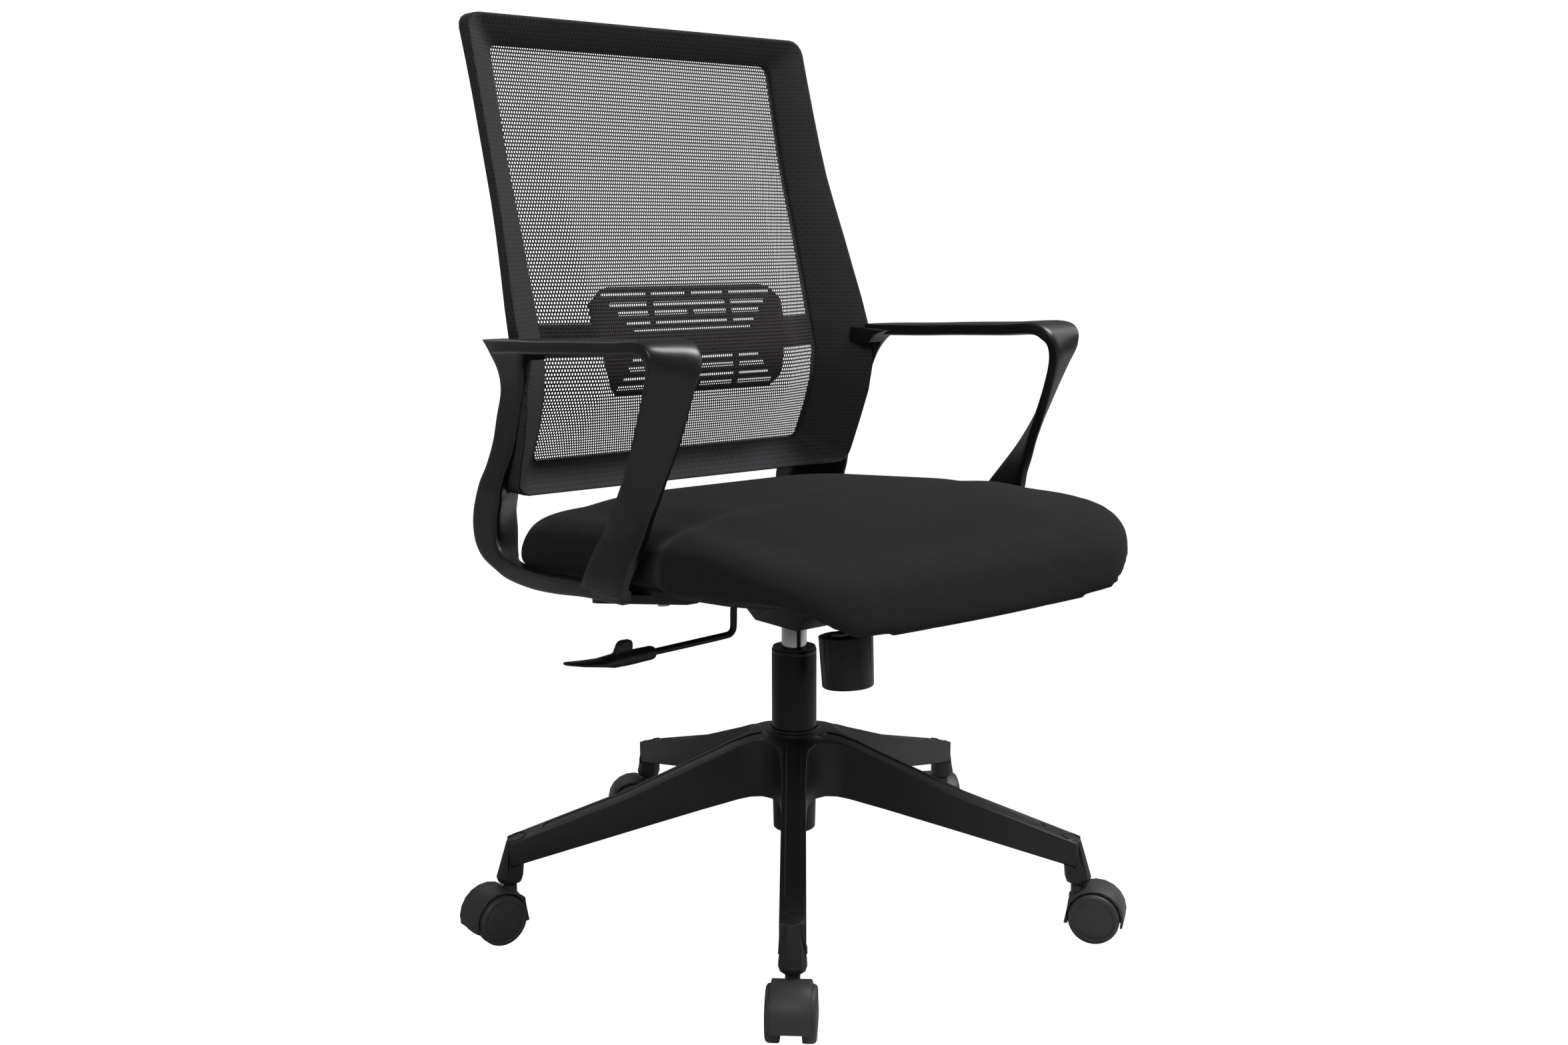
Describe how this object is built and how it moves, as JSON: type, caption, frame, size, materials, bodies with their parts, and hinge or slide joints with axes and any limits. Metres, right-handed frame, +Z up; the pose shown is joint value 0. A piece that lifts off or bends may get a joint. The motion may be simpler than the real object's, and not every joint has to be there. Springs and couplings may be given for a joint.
{
  "type": "swivel office chair",
  "caption": "Black office chair with a mesh back, loop arms and an upholstered seat, on a gas lift and a star base with twin-wheel casters.",
  "frame": {"origin": "on the floor, on the gas lift's axis", "axes": "+Z up; the sitter faces -Y; +X is the sitter's left"},
  "size_m": [0.7065, 0.6891, 0.988],
  "materials": {
    "base_nylon": "fine-grained satin black nylon",
    "soft_nylon": "dull black nylon",
    "wheel_plastic": "dull dark grey plastic",
    "seat_fabric": "plain black upholstery fabric",
    "net_cloth": "open black polyester net",
    "black_steel": "satin black powder coat",
    "plain_steel": "zinc-plated, satin",
    "chrome": "polished",
    "plywood": "bare moulded plywood"
  },
  "bodies": {
    "base": {"star_base": "base_nylon", "gas_column": "black_steel", "column_guide_bush": "soft_nylon", "thrust_bearing": "plain_steel", "caster_1_stem": "plain_steel", "caster_2_stem": "plain_steel", "caster_3_stem": "plain_steel", "caster_4_stem": "plain_steel", "caster_5_stem": "plain_steel"},
    "lift_rod": {"piston_rod": "plain_steel", "retaining_clip": "plain_steel"},
    "lift_head": {"gas_cylinder": "chrome", "mechanism_housing": "black_steel", "tilt_pivot_pin": "plain_steel", "tension_spring": "black_steel"},
    "seat": {"mechanism_seat_plate": "black_steel", "tension_bolt": "plain_steel", "seat_pan": "plywood", "seat_cushion": "seat_fabric", "back_frame": "base_nylon", "back_mesh": "net_cloth", "lumbar_support": "soft_nylon", "arm_right": "base_nylon", "arm_left": "base_nylon", "arm_back_screw_right_1": "plain_steel", "arm_seat_screw_right_1": "plain_steel", "arm_back_screw_right_2": "plain_steel", "arm_seat_screw_right_2": "plain_steel", "arm_back_screw_left_1": "plain_steel", "arm_seat_screw_left_1": "plain_steel", "arm_back_screw_left_2": "plain_steel", "arm_seat_screw_left_2": "plain_steel"},
    "knob": {"tension_knob": "soft_nylon"},
    "release_cam": {"release_cam": "soft_nylon"},
    "lever": {"lever_rod": "black_steel", "lever_paddle": "soft_nylon"},
    "valve_button": {"valve_button": "plain_steel"},
    "caster_1": {"caster_1_hood": "base_nylon", "caster_1_axle": "plain_steel"},
    "caster_1_left": {"caster_1_wheel_left": "wheel_plastic"},
    "caster_1_right": {"caster_1_wheel_right": "wheel_plastic"},
    "caster_2": {"caster_2_hood": "base_nylon", "caster_2_axle": "plain_steel"},
    "caster_2_left": {"caster_2_wheel_left": "wheel_plastic"},
    "caster_2_right": {"caster_2_wheel_right": "wheel_plastic"},
    "caster_3": {"caster_3_hood": "base_nylon", "caster_3_axle": "plain_steel"},
    "caster_3_left": {"caster_3_wheel_left": "wheel_plastic"},
    "caster_3_right": {"caster_3_wheel_right": "wheel_plastic"},
    "caster_4": {"caster_4_hood": "base_nylon", "caster_4_axle": "plain_steel"},
    "caster_4_left": {"caster_4_wheel_left": "wheel_plastic"},
    "caster_4_right": {"caster_4_wheel_right": "wheel_plastic"},
    "caster_5": {"caster_5_hood": "base_nylon", "caster_5_axle": "plain_steel"},
    "caster_5_left": {"caster_5_wheel_left": "wheel_plastic"},
    "caster_5_right": {"caster_5_wheel_right": "wheel_plastic"}
  },
  "joints": [
    {"name": "seat_swivel", "type": "hinge", "parent": "base", "child": "lift_rod", "pos_m": [0, 0, 0.09], "axis": [0, 0, 1], "continuous": true},
    {"name": "seat_height", "type": "slide", "parent": "lift_rod", "child": "lift_head", "axis": [0, 0, 1], "range_m": [0, 0.1]},
    {"name": "seat_tilt", "type": "hinge", "parent": "lift_head", "child": "seat", "pos_m": [0, -0.04, 0.358], "axis": [-1, 0, 0], "range_deg": [0, 12], "stiffness_Nm_per_rad": 190, "springref_deg": -9.17, "deforming": ["tension_spring"]},
    {"name": "tension_adjust", "type": "hinge", "parent": "seat", "child": "knob", "pos_m": [0, -0.08957, 0.30172], "axis": [0, 0.0785, 0.9969], "range_deg": [-360, 360]},
    {"name": "release_lever", "type": "hinge", "parent": "lift_head", "child": "release_cam", "pos_m": [-0.047, 0, 0.36], "axis": [0, 1, 0], "range_deg": [0, 4.2], "stiffness_Nm_per_rad": 1.2, "springref_deg": -14.32},
    {"name": "tilt_lock_pull", "type": "slide", "parent": "release_cam", "child": "lever", "axis": [-1, 0, 0], "range_m": [0, 0.015]},
    {"name": "valve_press", "type": "slide", "parent": "lift_head", "child": "valve_button", "axis": [0, 0, -1], "range_m": [0, 0.0036]},
    {"name": "caster_1_swivel", "type": "hinge", "parent": "base", "child": "caster_1", "pos_m": [-0.20395, -0.24918, 0.06], "axis": [0, 0, 1], "continuous": true},
    {"name": "caster_1_left_roll", "type": "hinge", "parent": "caster_1", "child": "caster_1_left", "pos_m": [-0.21741, -0.26397, 0.0274], "axis": [0.7396, -0.673, 0], "continuous": true},
    {"name": "caster_1_right_roll", "type": "hinge", "parent": "caster_1", "child": "caster_1_right", "pos_m": [-0.21741, -0.26397, 0.0274], "axis": [0.7396, -0.673, 0], "continuous": true},
    {"name": "caster_2_swivel", "type": "hinge", "parent": "base", "child": "caster_2", "pos_m": [0.17396, -0.27097, 0.06], "axis": [0, 0, 1], "continuous": true},
    {"name": "caster_2_left_roll", "type": "hinge", "parent": "caster_2", "child": "caster_2_left", "pos_m": [0.18534, -0.28741, 0.0274], "axis": [0.8221, 0.5693, 0], "continuous": true},
    {"name": "caster_2_right_roll", "type": "hinge", "parent": "caster_2", "child": "caster_2_right", "pos_m": [0.18534, -0.28741, 0.0274], "axis": [0.8221, 0.5693, 0], "continuous": true},
    {"name": "caster_3_swivel", "type": "hinge", "parent": "base", "child": "caster_3", "pos_m": [0.31146, 0.08171, 0.06], "axis": [0, 0, 1], "continuous": true},
    {"name": "caster_3_left_roll", "type": "hinge", "parent": "caster_3", "child": "caster_3_left", "pos_m": [0.32146, 0.09903, 0.0274], "axis": [-0.866, 0.5, 0], "continuous": true},
    {"name": "caster_3_right_roll", "type": "hinge", "parent": "caster_3", "child": "caster_3_right", "pos_m": [0.32146, 0.09903, 0.0274], "axis": [-0.866, 0.5, 0], "continuous": true},
    {"name": "caster_4_swivel", "type": "hinge", "parent": "base", "child": "caster_4", "pos_m": [0.01854, 0.32147, 0.06], "axis": [0, 0, 1], "continuous": true},
    {"name": "caster_4_left_roll", "type": "hinge", "parent": "caster_4", "child": "caster_4_left", "pos_m": [0.00122, 0.33147, 0.0274], "axis": [-0.5, -0.866, 0], "continuous": true},
    {"name": "caster_4_right_roll", "type": "hinge", "parent": "caster_4", "child": "caster_4_right", "pos_m": [0.00122, 0.33147, 0.0274], "axis": [-0.5, -0.866, 0], "continuous": true},
    {"name": "caster_5_swivel", "type": "hinge", "parent": "base", "child": "caster_5", "pos_m": [-0.3, 0.11697, 0.06], "axis": [0, 0, 1], "continuous": true},
    {"name": "caster_5_left_roll", "type": "hinge", "parent": "caster_5", "child": "caster_5_left", "pos_m": [-0.32, 0.11707, 0.0274], "axis": [-0.0052, -1, 0], "continuous": true},
    {"name": "caster_5_right_roll", "type": "hinge", "parent": "caster_5", "child": "caster_5_right", "pos_m": [-0.32, 0.11707, 0.0274], "axis": [-0.0052, -1, 0], "continuous": true}
  ],
  "couplings": [
    {"joint": "valve_press", "follows": "release_lever", "m_per_rad": 0.0485}
  ]
}
